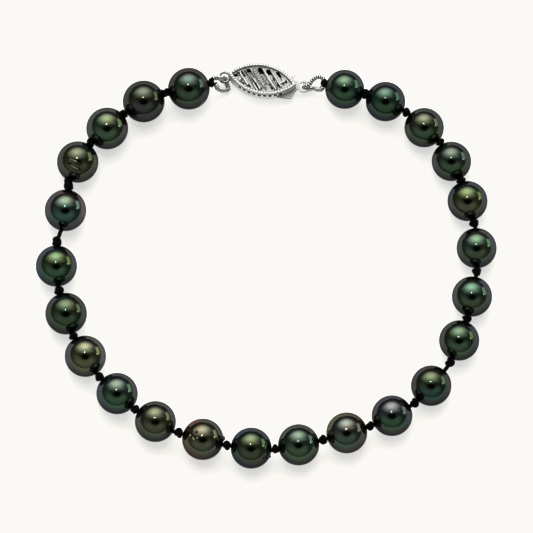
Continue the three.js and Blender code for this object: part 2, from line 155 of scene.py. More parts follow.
# Shimmer between a warm and a cool sheen, and the fine skin
SHIMMER_SCALE = 1.7
SHIMMER_ZONE = (0.34, 0.66)
WARM_SHEEN = (1.06, 0.99, 0.9)
COOL_SHEEN = (0.93, 1.02, 1.06)
SKIN_SCALE = 16.0
SKIN_ROUGHNESS = (0.11, 0.16)
SKIN_BUMP = 0.35
SKIN_DEPTH = 0.004 * MM
NACRE_EDGE_TINT = (0.28, 0.27, 0.31, 1.0)
NACRE_COAT = 0.22
NACRE_COAT_ROUGHNESS = 0.03
NACRE_COAT_IOR = 1.5

# Between these two a fine grain turns from its low to its high
NOISE_RANGE = (0.3, 0.7)

# Marks in the nacre. right and up place a mark on its pearl as seen from the front, in shares
# of the pearl's radius. long, short, depth and lens are in the same shares and turn is in
# degrees. A mark with a lens has that much left standing in its middle.
PEARL_MARKS = table(("pearl", "right", "up", "long", "short", "turn", "depth", "lens"), [
    (1, 0.73, -0.66, 0.36, 0.22, 40, 0.03),
    (4, -0.11, -0.17, 0.37, 0.16, -28, 0.075, 0.05),
    (8, -0.9, 0.08, 0.06, 0.05, 0, 0.05),
    (11, -0.56, 0.3, 0.22, 0.08, 62, 0.05),
    (11, -0.43, 0.12, 0.18, 0.08, 100, 0.05),
    (11, -0.34, 0.3, 0.16, 0.06, 50, 0.04),
    (11, -0.25, 0.12, 0.1, 0.05, 20, 0.03),
    (11, 0.985, 0.05, 0.16, 0.12, 0, -0.09),
    (12, 0.7, 0.12, 0.2, 0.05, 80, 0.04),
    (12, 0.66, -0.2, 0.11, 0.08, 30, 0.1),
    (12, 0.78, -0.42, 0.16, 0.1, -30, 0.13),
    (12, 0.62, -0.46, 0.09, 0.06, 60, 0.06),
    (12, 0.88, -0.26, 0.1, 0.07, 0, 0.08),
    (12, 0.9, -0.42, 0.08, 0.07, 0, -0.05),
])

# A mark's trench, the lens in it and the lip round it, as shares of the mark's own size. A mark
# so far to one side that less than this of the picture's right runs along the skin is turned
# from the picture's up instead.
TRENCH_REACH = 0.72
LENS_REACH = 0.42
LIP_REACH = 1.05
LIP_SPREAD = 0.16
LIP_SHARE = 0.18
LEAST_RIGHTWARD = 0.3

# Sides and rings of a pearl's skin, plain and where it is marked
PLAIN_SKIN = (112, 80)
MARKED_SKIN = (208, 150)

# Drill hole and the small rounding at both its ends. On a packed pearl only the rims of the
# hole lie nearer its centre than this many radii.
BORE_RADIUS = 0.45
BORE_INNER = 0.9
BORE_ROUNDING = 0.07
ROUNDING_STEP = 0.3
DRILL_RIM_REACH = 1.02

# Silk: a line of three twisted plies
PLIES = 3
PLY_DEPTH = 0.16
PLY_PITCH = 0.9
STRAND_SIDES = 15
SILK_RADIUS = 0.31
SILK_STEPS = 36
SILK_IN_BORE = 1.2
SILK_AT_ENDS = 0.8
SILK_DARK = (0.001, 0.001, 0.0012)
SILK_LIGHT = (0.004, 0.004, 0.0045)
SILK_ROUGHNESS = 0.62
SILK_GLOSS = 0.06
FIBRE_SCALE = 9000.0
FIBRE_BUMP = 0.6
FIBRE_DEPTH = 0.02 * MM

# Knots: how often a strand runs round the silk, and to and fro along it, and how much each
# knot may differ from the next
KNOT_STRAND_RADIUS = 0.245
KNOT_STRAND_SPREAD = (0.95, 1.06)
KNOT_RADIUS = 0.44
KNOT_RADIUS_SPREAD = (0.94, 1.08)
KNOT_LEAN = 0.12
KNOT_TURNS = 2
KNOT_WAVES = 3
KNOT_WAVE_START = 0.6
KNOT_SHORTEST = 0.16
KNOT_INSET = 0.8
KNOT_STEPS = 110
KNOT_MIDDLE = 1.1
KNOT_TAPER = 0.34
KNOT_BASE = 0.9
KNOT_SWING = 0.22
FIRST_KNOT_SEED = 99

# The corners of a packed knot lie between these distances from the silk's middle line, and at
# most this far beyond the two pearls' ends
KNOT_CORNERS = (0.4, 1.0)
KNOT_MARGIN = 0.3

# Bullion wire
GIMPS = ("gimp_left", "gimp_right")
COIL_RADIUS = 0.4
COIL_WIRE_RADIUS = 0.14
COIL_PITCH = 0.34
COIL_CORE_RADIUS = 0.2
COIL_SIDES = 6
COIL_STEPS = 12
CORE_SIDES = 10
CORE_STRIDE = 4

# Packed wire: its sides, how well the normals of one plane agree, and how round its end is
TUBE_SIDES = 6
SAME_PLANE = 0.9995
ROUND_WITHIN = 0.02

# Clasp, in its own measures: a box whose outline is a pointed oval of two arcs
BOX_LENGTH = 10.2
BOX_WIDTH = 4.8
BOX_BOTTOM = 0.5
SIDE_RADIUS = (BOX_LENGTH ** 2 + BOX_WIDTH ** 2) / (4 * BOX_WIDTH)
SIDE_DROP = SIDE_RADIUS - BOX_WIDTH / 2
SIDE_HALF_ANGLE = math.acos(SIDE_DROP / SIDE_RADIUS)

# Its rim, with a bevel outside and a bead line inside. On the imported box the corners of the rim
# lie within RIM_SEARCH of its top.
RIM_SEARCH = 0.2
RIM_TOP = 2.85
RIM_WIDTH = 0.47
RIM_SLOPE = 0.06
RIM_BEVEL = 0.12
RIM_BEVEL_WIDTH = 0.1
RIM_BEAD = 0.06
RIM_BEAD_INSET = 0.05
RIM_BEAD_WIDTH = 0.04

# Ticks cut across the rim
TICK_PITCH = 0.42
TICK_WIDTH = 0.11
TICK_DEPTH = 0.09
TICK_REACH = 0.36
TICK_STEEPNESS = 2.2

# The front's sheet, the grid it is made on, how far a corner of the grid may move onto an edge,
# and the fine lace on the sheet where nothing rises from it
SHEET_TOP = 2.46
SHEET_BOTTOM = 2.22
FRONT_GRID = 0.036
EDGE_PROBE = 0.05
EDGE_MOVE = 0.7
LEAST_SLOPE = 0.2
PLAIN_BELOW = 0.01
LACE_RISE = 0.028
LACE_WAVES = 15

# Side walls with their row of windows, and the mouth for the hook at the right tip
WALL_THICKNESS = 0.3
WALL_COLUMNS = 90
WALL_TOP = SHEET_BOTTOM + 0.02
WINDOW_COUNT = 9
WINDOW_PITCH = 0.8
WINDOW_WIDTH = 0.44
WINDOW_BOTTOM = 1.6
WINDOW_TOP = 2.18
MOUTH_BOTTOM = 0.95
MOUTH_TOP = 1.5
MOUTH_DEPTH = 2.6
WALL_LEVELS = [BOX_BOTTOM, MOUTH_BOTTOM, MOUTH_TOP, WINDOW_BOTTOM, WINDOW_TOP, WALL_TOP]
MOUTH_ROW = 1
WINDOW_ROW = 3

# The back, and where the inside of the box begins
BACK_SETBACK = 0.01
BACK_STEPS = 48
INSIDE_INSET = 0.03
INSIDE_BOTTOM = BOX_BOTTOM + 0.01

# The ring at the box's closed end
END_RING = {"x": -5.6, "y": -0.3, "bottom": 1.05, "top": 1.45, "hole": 1.2, "rim": 0.36}
RING_SIDES = 48
RING_SECTION = 12
RING_SQUARENESS = 0.6

# How the front's bars and slots slant, in degrees
SLOT_TURN = -49

# Holes through the front: middle, length between the centres of its round ends, and the
# half widths of its upper and lower end
FRONT_HOLES = table(("x", "y", "length", "head", "tail", "turn"), [
    (-3.95, -0.12, 0.3, 0.2, 0.2, 20),
    (-3.62, 0.28, 0.3, 0.1, 0.14, -20),
    (-2.9, 0.32, 0.85, 0.1, 0.12),
    (-2.62, -1.2, 0.25, 0.15, 0.12),
    (-2.0, -0.08, 2.1, 0.09, 0.09),
    (-1.72, 0.42, 1.35, 0.3, 0.17),
    (-1.37, -0.44, 3.0, 0.05, 0.05),
    (-1.62, -1.45, 0.3, 0.14, 0.1),
    (-0.62, -1.2, 0.72, 0.15, 0.1),
    (-0.02, 0.74, 1.75, 0.32, 0.18),
    (0.6, -0.42, 0.8, 0.12, 0.1),
    (1.22, 0.74, 1.6, 0.31, 0.16),
    (1.5, -0.98, 0.75, 0.17, 0.12),
    (2.42, 1.0, 0.85, 0.24, 0.12),
    (2.6, -0.62, 0.4, 0.12, 0.1),
    (3.25, -0.2, 0.1, 0.13, 0.13),
    (3.58, 0.16, 0.16, 0.15, 0.13),
    (0.18, -1.5, 0.2, 0.1, 0.08),
])

# Raised bars: middle, length, half width and rise over the sheet
FRONT_BARS = table(("x", "y", "length", "width", "rise", "turn"), [
    (-2.66, -0.5, 2.2, 0.15, 0.3),
    (-2.3, -0.84, 1.1, 0.17, 0.34),
    (-1.52, -0.56, 3.6, 0.15, 0.38),
    (-1.2, -0.3, 3.6, 0.15, 0.38),
    (0.72, 0.3, 3.4, 0.13, 0.34),
    (1.1, 0.06, 3.6, 0.15, 0.38),
    (2.18, 0.16, 2.4, 0.14, 0.34),
    (2.9, 0.55, 0.9, 0.14, 0.3),
    (3.0, -0.1, 1.0, 0.14, 0.3, 35),
])

# Ridged leaves: middle, length, half width, rise and the pitch of the ridges
FRONT_LEAVES = table(("x", "y", "length", "width", "rise", "pitch"), [
    (-0.42, 0.05, 3.5, 0.5, 0.34, 0.42),
    (1.95, -0.5, 1.6, 0.3, 0.26, 0.34),
    (0.45, -1.0, 1.3, 0.26, 0.24, 0.3),
])

# How far the ridges bend back, what is left of the rise between them, and how steep a leaf is
RIDGE_BEND = 0.45
RIDGE_VALLEY = 0.25
LEAF_STEEPNESS = 2.5
LEAST_OUTLINE = 0.001

# Beads: middle, radius and rise
FRONT_BEADS = table(("x", "y", "radius", "rise"), [
    (-3.22, -0.7, 0.33, 0.36),
    (-3.5, 0.0, 0.14, 0.2),
    (3.05, 0.1, 0.16, 0.24),
])

# Painted shade, near black: inside the box, and deep between the bars where the relief is
# closed in
PAINTED_SHADE_TONE = (0.012, 0.012, 0.013)
PAINTED_SHADE_REACH = 0.55
PAINTED_SHADE_ZONE = (0.05, 0.5)
PAINTED_SHADE_RAYS = 8

# White metal of each part: its tone, the smoothest and the roughest of its surface, how
# metallic it is, and whether it is the front's relief
WHITE_METALS = table(("name", "tone", "roughness", "metallic", "relief"), [
    ("polished", (0.225, 0.225, 0.223), (0.22, 0.3), 1.0),
    ("cast", (0.54, 0.54, 0.535), (0.34, 0.44), 0.62, True),
    ("box", (0.8, 0.8, 0.79), (0.6, 0.7), 0.5),
    # The inside of the box: near-black painted shade
    ("tarnished", PAINTED_SHADE_TONE, (0.5, 0.6), 1.0),
    ("wire", (0.6, 0.6, 0.59), (0.2, 0.3), 1.0),
    ("plate", (0.39, 0.39, 0.386), (0.45, 0.55), 0.6),
])

# Its faint wear, and the share of the tone that is left where it is worn
WEAR_SCALE = 1800.0
WEAR_ZONE = (0.35, 0.65)
WEAR_BUMP = 0.4
WEAR_DEPTH = 0.01 * MM
WORN_SHARE = 0.9

# Painted shade: the front's sheet, recessed between the raised parts, is dimmer than what rises
# from it, and turns bright between these heights
RECESS_PAINTED_SHADE = {"tone": (0.27, 0.27, 0.267), "from": SHEET_TOP + 0.03, "to": SHEET_TOP + 0.12}

# Pale floor
FLOOR_REACH = 3.0
FLOOR_COLOUR = (0.52, 0.518, 0.512, 1.0)
FLOOR_GLOW = (1.0, 0.995, 0.98, 1.0)
FLOOR_GLOW_STRENGTH = 0.33

# Soft panels and lamps of the studio. wide and high are half sizes in degrees, core is the
# share of that size that is evenly bright, and corner 2 gives an oval and more a box.
STUDIO_LIGHTS = table(("azimuth", "elevation", "wide", "high", "core", "corner", "power"), [
    (95, 44, 59, 34, 0.1, 2, 2.75),
    (92, 70, 60, 27, 0.1, 2, 1.45),
    (128, 84.6, 2.5, 2.5, 0.6, 2, 34),
    (22, 13, 21, 15, 0.6, 4, 1.45),
    (4, 21.5, 2.6, 2.6, 0.6, 2, 10),
    (270, 32, 80, 50, 0.0, 2, 0.4),
    (212, 30, 45, 36, 0.0, 2, 0.28),
    (315, 38, 32, 28, 0.0, 2, 0.26),
])
ROOM_LIGHT = 0.12
ROOM_COLOUR = (1.0, 0.995, 0.975, 1.0)
HORIZON = (0.0, 0.09)
PANEL_FRONT = (0.0, 0.05)
LEAST_FACING = 0.0001

# The camera's own dark shape as the pearls reflect it
CAMERA_SHADE = {"azimuth": 270, "elevation": 68, "wide": 32, "high": 22, "core": 0.58, "corner": 1.6}

# How the studio camera renders brightness: what is dim stays as it is, and what is bright is
# lifted to the paper's white
TONE_CURVE = [(0.0, 0.0), (0.14, 0.14), (0.28, 0.36), (0.42, 0.7)]
WHITE_LEVEL = 0.54
WHITE = (0.956, 0.947, 0.913)


# Mesh tools


def add_object(name, data):
    """An object of the scene, from a mesh or a camera."""
    thing = bpy.data.objects.new(name, data)
    bpy.context.scene.collection.objects.link(thing)
    return thing


def add_mesh(name, geometry, material, smooth=True):
    """A piece of the bracelet, from vertices in millimetres and their faces."""
    vertices, faces = geometry
    mesh = bpy.data.meshes.new(name)
    mesh.from_pydata([tuple(v) for v in vertices * MM], [], [tuple(f) for f in faces])
    mesh.materials.append(material)
    mesh.polygons.foreach_set("use_smooth", [smooth] * len(mesh.polygons))
    mesh.update()
    piece = add_object(name, mesh)
    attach(piece, "root")
    return piece


def node_points(name):
    """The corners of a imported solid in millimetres, each once."""
    corners = [vertex.co for vertex in nodes[name].data.vertices]
    points = np.array(corners, float).reshape(-1, 3) / MM
    return np.unique(np.round(points, 4), axis=0)


def unit(vector):
    """A direction of length 1."""
    return vector / np.linalg.norm(vector)


def distances(points):
    """How far along a path each of its points lies."""
    steps = np.linalg.norm(np.diff(points, axis=0), axis=1)
    return np.concatenate([[0.0], np.cumsum(steps)])


def merged(parts):
    """One array of vertices and one list of faces from several."""
    vertices = []
    faces = []
    start = 0
    for part_vertices, part_faces in parts:
        vertices.append(np.asarray(part_vertices, float))
        faces += [tuple(start + index for index in face) for face in part_faces]
        start += len(part_vertices)
    return np.concatenate(vertices), faces


def carried_frames(points):
    """Two directions across a path at each of its points, carried along without a sudden turn."""
    along = np.gradient(points, axis=0)
    along /= np.linalg.norm(along, axis=1)[:, None]
    reference = UP
    if abs(along[0] @ UP) > NEARLY_UPRIGHT:
        reference = np.array([1.0, 0.0, 0.0])
    across = [unit(np.cross(along[0], reference))]
    for index in range(1, len(points)):
        across.append(unit(across[-1] - along[index] * (across[-1] @ along[index])))
    across = np.array(across)
    return across, np.cross(along, across)


def tube(points, radius, sides, plies=0, depth=0.0, pitch=1.0):
    """A closed tube along a path. With plies it has the twisted section of laid thread."""
    points = np.asarray(points, float)
    across, upward = carried_frames(points)
    travelled = distances(points)
    angles = np.arange(sides) * 2 * math.pi / sides
    rings = []
    for index, centre in enumerate(points):
        twist = 2 * math.pi * travelled[index] / pitch
        lobes = np.cos(plies * (angles - twist / max(plies, 1)))
        section = radius * (1 - depth * (0.5 - 0.5 * lobes))
        rightward = np.outer(section * np.cos(angles), across[index])
        rings.append(centre + rightward + np.outer(section * np.sin(angles), upward[index]))
    faces = []
    for ring in range(len(points) - 1):
        for side in range(sides):
            a = ring * sides + side
            b = ring * sides + (side + 1) % sides
            faces.append((a, b, b + sides, a + sides))
    faces.append(tuple(reversed(range(sides))))
    faces.append(tuple(range((len(points) - 1) * sides, len(points) * sides)))
    return np.concatenate(rings), faces


def endless_faces(rings, sides):
    """Faces between rings of points where the last ring is joined to the first."""
    faces = []
    for ring in range(rings):
        below = (ring + 1) % rings
        for side in range(sides):
            following = (side + 1) % sides
            corners = ((ring, side), (below, side), (below, following), (ring, following))
            faces.append(tuple(row * sides + place for row, place in corners))
    return faces


def smooth_path(points, count):
    """Points spread evenly along a rounded line through the given ones."""
    points = np.asarray(points, float)
    first = 2 * points[0] - points[1]
    last = 2 * points[-1] - points[-2]
    ends = np.concatenate([[first], points, [last]])
    dense = []
    for index in range(1, len(ends) - 2):
        a, b, c, d = ends[index - 1:index + 3]
        for t in np.linspace(0, 1, SPAN_STEPS, endpoint=False):
            linear = (c - a) * t
            square = (2 * a - 5 * b + 4 * c - d) * t ** 2
            cubic = (3 * b - a - 3 * c + d) * t ** 3
            dense.append(0.5 * (2 * b + linear + square + cubic))
    dense.append(points[-1])
    dense = np.array(dense)
    travelled = distances(dense)
    wanted = np.linspace(0, travelled[-1], count)
    return np.stack([np.interp(wanted, travelled, dense[:, k]) for k in range(3)], 1)


# Material tools


class Nodes:
    """Adds nodes to a tree and links them."""

    def __init__(self, tree):
        self.tree = tree
        tree.nodes.clear()

    def add(self, kind, inputs=None, **settings):
        node = self.tree.nodes.new(kind)
        for name, value in settings.items():
            setattr(node, name, value)
        for name, value in (inputs or {}).items():
            if isinstance(value, bpy.types.NodeSocket):
                self.tree.links.new(value, node.inputs[name])
            else:
                node.inputs[name].default_value = value
        return node

    def place(self, kind="Object"):
        return self.add("ShaderNodeTexCoord").outputs[kind]

    def vector(self, operation, inputs):
        return self.add("ShaderNodeVectorMath", inputs, operation=operation).outputs[0]

    def dot(self, vector, direction):
        inputs = {0: vector, 1: tuple(direction)}
        return self.add("ShaderNodeVectorMath", inputs, operation="DOT_PRODUCT").outputs["Value"]

    def maths(self, operation, first, second=0.0):
        return self.add("ShaderNodeMath", {0: first, 1: second}, operation=operation).outputs[0]

    def noise(self, vector, scale, detail):
        inputs = {"Vector": vector, "Scale": scale, "Detail": detail}
        return self.add("ShaderNodeTexNoise", inputs).outputs[0]

    def bump(self, height, strength, distance):
        inputs = {"Height": height, "Strength": strength, "Distance": distance}
        return self.add("ShaderNodeBump", inputs).outputs[0]

    def ramp(self, value, low, high, start=0.0, end=1.0):
        inputs = {"Value": value, "From Min": low, "From Max": high, "To Min": start, "To Max": end}
        return self.add("ShaderNodeMapRange", inputs, interpolation_type="SMOOTHSTEP").outputs["Result"]

    def mix(self, factor, first, second):
        node = self.add("ShaderNodeMix", {"Factor": factor}, data_type="RGBA")
        for socket, value in (("A", first), ("B", second)):
            target = [i for i in node.inputs if i.name == socket and i.type == "RGBA"][0]
            if isinstance(value, bpy.types.NodeSocket):
                self.tree.links.new(value, target)
            else:
                target.default_value = (*value, 1.0)
        return [o for o in node.outputs if o.type == "RGBA"][0]

    def surface(self, shader, kind="ShaderNodeOutputMaterial"):
        self.tree.links.new(shader.outputs[0], self.add(kind).inputs["Surface"])


def new_material(name):
    material = bpy.data.materials.new(name)
    material.use_nodes = True
    return material, Nodes(material.node_tree)


def scaled(tone, share):
    """A tone made brighter or darker."""
    return tuple(share * channel for channel in tone)


def pearl_material(number, look):
    """Nacre whose tones lie round the pearl as the camera's side sees it, with a painted highlight on
    the crown, a painted sheen at the outline and painted shade low on the sides.
    """
    lustre = look["lustre"]
    crown = scaled(CROWNS[look["crown"]], lustre)
    grey = HIGHLIGHT_SURROUND_DIMMING * sum(crown) / 3
    deep = tuple(grey + HIGHLIGHT_SURROUND_DEPTH * (channel - grey) for channel in crown)
    low, left, right = (scaled(OVERTONES[look[part]], lustre) for part in ("low", "left", "right"))
    material, n = new_material(f"nacre_{number:02d}")
    outward = n.vector("NORMALIZE", {0: n.place()})
    shifted = n.vector("ADD", {0: outward, 1: (number * CLOUD_SHIFT[0], number * CLOUD_SHIFT[1], 0)})
    cloud = n.noise(shifted, CLOUD_SCALE, 2.0)
    drift = n.maths("MULTIPLY", n.maths("SUBTRACT", cloud, 0.5), CLOUD_DRIFT)
    rise = n.dot(outward, PICTURE_UP)
    height = n.maths("ADD", rise, drift)
    side = n.maths("ADD", n.dot(outward, PICTURE_RIGHT), drift)
    facing = n.dot(outward, TO_CAMERA)
    # Painted highlight: the crown is palest where the main panel is mirrored, deeper round it
    glow = n.mix(n.ramp(n.dot(outward, PAINTED_HIGHLIGHT_DIRECTION), *PAINTED_HIGHLIGHT_ZONE), deep, crown)
    body = n.mix(n.ramp(height, *LOW_TO_CROWN), low, glow)
    # Painted sheen brightens the sides towards the outline, and painted shade dims them low down
    outer = n.ramp(facing, *INNER_TO_OUTER, INNER_SIDE, OUTLINE_PAINTED_SHEEN)
    painted_low_shade = n.ramp(rise, *DIM_TO_FULL, LOW_PAINTED_SHADE, 1.0)
    flank = n.mix(n.ramp(side, *LEFT_TO_RIGHT), left, right)
    flank = n.vector("SCALE", {0: flank, "Scale": n.maths("MULTIPLY", outer, painted_low_shade)})
    colour = n.mix(n.ramp(facing, *BODY_TO_SIDE), body, flank)
    shimmer = n.ramp(n.noise(shifted, SHIMMER_SCALE, 1.0), *SHIMMER_ZONE)
    colour = n.vector("MULTIPLY", {0: colour, 1: n.mix(shimmer, WARM_SHEEN, COOL_SHEEN)})
    skin = n.noise(outward, SKIN_SCALE, 3.0)
    n.surface(n.add("ShaderNodeBsdfPrincipled", {
        "Base Color": colour,
        "Metallic": 1.0,
        "Roughness": n.ramp(skin, *NOISE_RANGE, *SKIN_ROUGHNESS),
        "Specular Tint": NACRE_EDGE_TINT,
        "Coat Weight": NACRE_COAT,
        "Coat Roughness": NACRE_COAT_ROUGHNESS,
        "Coat IOR": NACRE_COAT_IOR,
        "Normal": n.bump(skin, SKIN_BUMP, SKIN_DEPTH),
    }))
    return material


def silk_material():
    """Dull black fibre."""
    material, n = new_material("black_silk")
    fibre = n.noise(n.place(), FIBRE_SCALE, 2.0)
    n.surface(n.add("ShaderNodeBsdfPrincipled", {
        "Base Color": n.mix(n.ramp(fibre, *NOISE_RANGE), SILK_DARK, SILK_LIGHT),
        "Roughness": SILK_ROUGHNESS,
        "Specular IOR Level": SILK_GLOSS,
        "Normal": n.bump(fibre, FIBRE_BUMP, FIBRE_DEPTH),
    }))
    return material


def white_gold_material(name, tone, roughness, metallic, relief=False):
    """White metal with faint wear. In a relief the low parts are dimmed and the gaps darkened, as
    painted shade.
    """
    material, n = new_material(f"white_gold_{name}")
    place = n.place()
    wear = n.noise(place, WEAR_SCALE, 4.0)
    colour = n.mix(n.ramp(wear, *WEAR_ZONE), tone, scaled(tone, WORN_SHARE))
    if relief:
        # Painted shade: the recessed sheet is dimmed, and the gaps deep between the bars are darkened
        # by ambient occlusion
        level = n.ramp(n.dot(place, UP), RECESS_PAINTED_SHADE["from"] * MM, RECESS_PAINTED_SHADE["to"] * MM)
        colour = n.mix(level, RECESS_PAINTED_SHADE["tone"], colour)
        inputs = {"Distance": PAINTED_SHADE_REACH * MM}
        openness = n.add("ShaderNodeAmbientOcclusion", inputs, samples=PAINTED_SHADE_RAYS).outputs["AO"]
        colour = n.mix(n.ramp(openness, *PAINTED_SHADE_ZONE), PAINTED_SHADE_TONE, colour)
    n.surface(n.add("ShaderNodeBsdfPrincipled", {
        "Base Color": colour,
        "Metallic": metallic,
        "Roughness": n.ramp(wear, *NOISE_RANGE, *roughness),
        "Normal": n.bump(wear, WEAR_BUMP, WEAR_DEPTH),
    }))
    return material


# Pearls


def measure_pearl(number):
    """Centre, radius and drill direction of a packed pearl."""
    points = node_points(f"pearl_{number:02d}")
    centre = (points.min(0) + points.max(0)) / 2
    radius = (points[:, 2].max() - points[:, 2].min()) / 2
    rims = points[np.linalg.norm(points - centre, axis=1) < radius * DRILL_RIM_REACH] - centre
    axis = np.where((rims @ rims[0])[:, None] > 0, rims, -rims).mean(0)
    axis[2] = 0
    return {"centre": centre, "radius": radius, "axis": unit(axis)}


def measure_pearls():
    """All pearls in their order, each drill direction pointing to the next pearl."""
    pearls = [measure_pearl(number) for number in range(1, len(PEARL_LOOKS) + 1)]
    for index, pearl in enumerate(pearls):
        onward = pearls[(index + 1) % len(pearls)]["centre"] - pearl["centre"]
        if onward @ pearl["axis"] < 0:
            pearl["axis"] = -pearl["axis"]
    return pearls


def apply_marks(outward, marks):
    """How far each point of a pearl's skin moves in or out, as a share of its radius."""
    shift = np.zeros(len(outward))
    right, up, front = (np.array(v) for v in (PICTURE_RIGHT, PICTURE_UP, TO_CAMERA))
    for mark in marks:
        flat = mark["right"] ** 2 + mark["up"] ** 2
        forward = math.sqrt(max(0.0, 1 - flat))
        centre = unit(mark["right"] * right + mark["up"] * up + forward * front)
        lengthwise = right - centre * (right @ centre)
        if np.linalg.norm(lengthwise) < LEAST_RIGHTWARD:
            lengthwise = up - centre * (up @ centre)
        lengthwise = unit(lengthwise)
        along = outward @ lengthwise
        across = outward @ np.cross(centre, lengthwise)
        turn = math.radians(mark["turn"])
        a = along * math.cos(turn) + across * math.sin(turn)
        b = across * math.cos(turn) - along * math.sin(turn)
        reach = np.sqrt((a / mark["long"]) ** 2 + (b / mark["short"]) ** 2)
        reach[outward @ centre < 0] = np.inf
        trench = -mark["depth"] * np.exp(-(reach / TRENCH_REACH) ** 4)
        lens = mark.get("lens", 0.0) * np.exp(-(reach / LENS_REACH) ** 2)
        lip = LIP_SHARE * mark["depth"] * np.exp(-((reach - LIP_REACH) / LIP_SPREAD) ** 2)
        shift += trench + lens + lip
    return shift


def pearl_geometry(radius, axis, marks):
    """A drilled pearl round its own centre."""
    sides, rings = MARKED_SKIN if marks else PLAIN_SKIN
    opening = math.asin((BORE_RADIUS + BORE_ROUNDING) / radius)
    mouth = -radius * math.cos(opening)
    step = ROUNDING_STEP * BORE_ROUNDING
    bore = [
        (-radius * BORE_INNER, BORE_RADIUS),
        (mouth + BORE_ROUNDING, BORE_RADIUS),
        (mouth + step, BORE_RADIUS + step),
    ]
    skin = []
    for ring in range(rings + 1):
        angle = opening + (math.pi - 2 * opening) * ring / rings
        skin.append((-radius * math.cos(angle), radius * math.sin(angle)))
    profile = bore + skin + [(-along, out) for along, out in reversed(bore)]
    angles = np.arange(sides) * 2 * math.pi / sides
    circle = np.outer(np.cos(angles), np.cross(axis, UP)) + np.outer(np.sin(angles), UP)
    vertices = np.concatenate([axis * along + circle * out for along, out in profile])
    outside = slice(len(bore) * sides, (len(bore) + len(skin)) * sides)
    vertices[outside] *= (1 + apply_marks(vertices[outside] / radius, marks))[:, None]
    return vertices, endless_faces(len(profile), sides)


def add_pearls(pearls):
    """Every pearl with its own nacre and marks."""
    for number, (look, pearl) in enumerate(zip(PEARL_LOOKS, pearls), 1):
        name = f"pearl_{number:02d}"
        marks = [mark for mark in PEARL_MARKS if mark["pearl"] == number]
        geometry = pearl_geometry(pearl["radius"], pearl["axis"], marks)
        piece = add_mesh(f"{name}_nacre", geometry, pearl_material(number, look))
        piece.location = Vector(pearl["centre"]) * MM
        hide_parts(name)


# Silk and knots


def thread(path, radius):
    """A strand of laid thread along a path."""
    return tube(path, radius, STRAND_SIDES, PLIES, PLY_DEPTH, PLY_PITCH)


def silk_run(before, after):
    """Where the silk leaves one pearl and where it enters the next, or ends beyond the last."""
    if before:
        start = before["centre"] + before["axis"] * before["radius"]
    if after:
        end = after["centre"] - after["axis"] * after["radius"]
    if not before:
        start = end - after["axis"] * SILK_AT_ENDS
    if not after:
        end = start + before["axis"] * SILK_AT_ENDS
    return start, end


def knot_span(silk_points, start, end):
    """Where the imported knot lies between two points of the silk, as distances from the first."""
    way = unit(end - start)
    offset = silk_points - start
    along = offset @ way
    out = np.linalg.norm(offset - np.outer(along, way), axis=1)
    nearest, farthest = KNOT_CORNERS
    between = (along > -KNOT_MARGIN) & (along < np.linalg.norm(end - start) + KNOT_MARGIN)
    corners = along[between & (out > nearest) & (out < farthest)]
    return corners.min(), corners.max()


def knot_geometry(centre, way, length, seed):
    """Strands wound round the silk in a compact knot, a little different each time."""
    rng = np.random.default_rng(seed)
    across = unit(np.cross(way, UP))
    turn = rng.uniform(0, 2 * math.pi)
    radius = KNOT_RADIUS * rng.uniform(*KNOT_RADIUS_SPREAD)
    half = max(KNOT_SHORTEST, length / 2 - KNOT_STRAND_RADIUS * KNOT_INSET)
    lean = rng.uniform(-KNOT_LEAN, KNOT_LEAN, 2)
    path = []
    for t in np.linspace(0, 1, KNOT_STEPS):
        around = turn + 2 * math.pi * KNOT_TURNS * t
        wave = 2 * math.pi * KNOT_WAVES * t
        along = half * math.sin(wave + KNOT_WAVE_START)
        taper = KNOT_MIDDLE - KNOT_TAPER * (along / half) ** 2
        out = radius * (KNOT_BASE + KNOT_SWING * math.cos(wave)) * taper
        sideways = across * (out * math.cos(around) + lean[0] * along)
        upward = UP * (out * math.sin(around) + lean[1] * along)
        path.append(centre + sideways + upward + way * along)
    return thread(path, KNOT_STRAND_RADIUS * rng.uniform(*KNOT_STRAND_SPREAD))


def add_silk(pearls, silk):
    """The silk from bore to bore, with a knot on each side of every pearl."""
    silk_points = node_points("silk_thread")
    parts = []
    for number in range(len(pearls) + 1):
        before = pearls[number - 1] if number > 0 else None
        after = pearls[number] if number < len(pearls) else None
        start, end = silk_run(before, after)
        first, last = knot_span(silk_points, start, end)
        way = unit(end - start)
        middle = start + way * (first + last) / 2
        parts.append(knot_geometry(middle, way, last - first, FIRST_KNOT_SEED + number))
        path = [start, end]
        if before:
            path.insert(0, start - before["axis"] * SILK_IN_BORE)
        if after:
            path.append(end + after["axis"] * SILK_IN_BORE)
        parts.append(thread(smooth_path(path, SILK_STEPS), SILK_RADIUS))
    silk_piece = add_mesh("silk_line", merged(parts), silk)
    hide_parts("silk_thread")


# Bullion wire


def flat_end(points, triangles, beside):
    """The corners of a packed tube's flat end."""
    normals = []
    for triangle in triangles:
        first, second, third = points[triangle]
        normals.append(unit(np.cross(second - first, third - first)))
    for index, triangle in enumerate(triangles):
        members = set(triangle)
        for corner in triangle:
            for other in beside[corner]:
                if normals[other] @ normals[index] > SAME_PLANE:
                    members |= set(triangles[other])
        ring = points[sorted(members)]
        reach = np.linalg.norm(ring - ring.mean(0), axis=1)
        if len(members) == TUBE_SIDES and reach.max() - reach.min() < ROUND_WITHIN:
            return members


